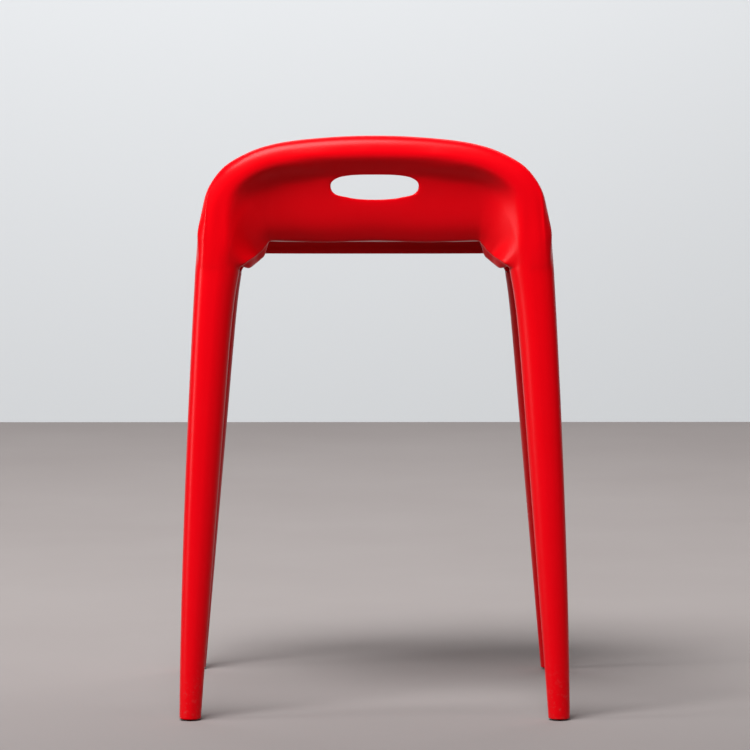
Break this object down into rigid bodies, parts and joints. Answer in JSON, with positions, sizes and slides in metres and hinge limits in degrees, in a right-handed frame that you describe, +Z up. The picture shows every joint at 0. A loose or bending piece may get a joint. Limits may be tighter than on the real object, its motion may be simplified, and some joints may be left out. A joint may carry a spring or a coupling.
{
  "type": "stacking stool",
  "caption": "One-piece moulded stacking stool: dished seat, raised back rim with an oval hand slot, tapered hollow legs with plugged ends.",
  "frame": {"origin": "on the floor, under the middle of the four legs", "axes": "+Z up, +X to the right of a person who looks at the slotted back, so the slotted back faces -Y and the seat's low front edge faces +Y"},
  "size_m": [0.4062, 0.3967, 0.593],
  "materials": {
    "body_plastic": "satin-gloss red, coloured through",
    "plug_plastic": "matt dark red, as moulded",
    "pad_rubber": "matt black, soft"
  },
  "bodies": {
    "root": {"moulded_body": "body_plastic", "leg_plug_rear_left": "plug_plastic", "leg_plug_rear_right": "plug_plastic", "leg_plug_front_left": "plug_plastic", "leg_plug_front_right": "plug_plastic", "floor_pad_rear_left": "pad_rubber", "floor_pad_rear_right": "pad_rubber", "floor_pad_front_left": "pad_rubber", "floor_pad_front_right": "pad_rubber"}
  },
  "joints": []
}
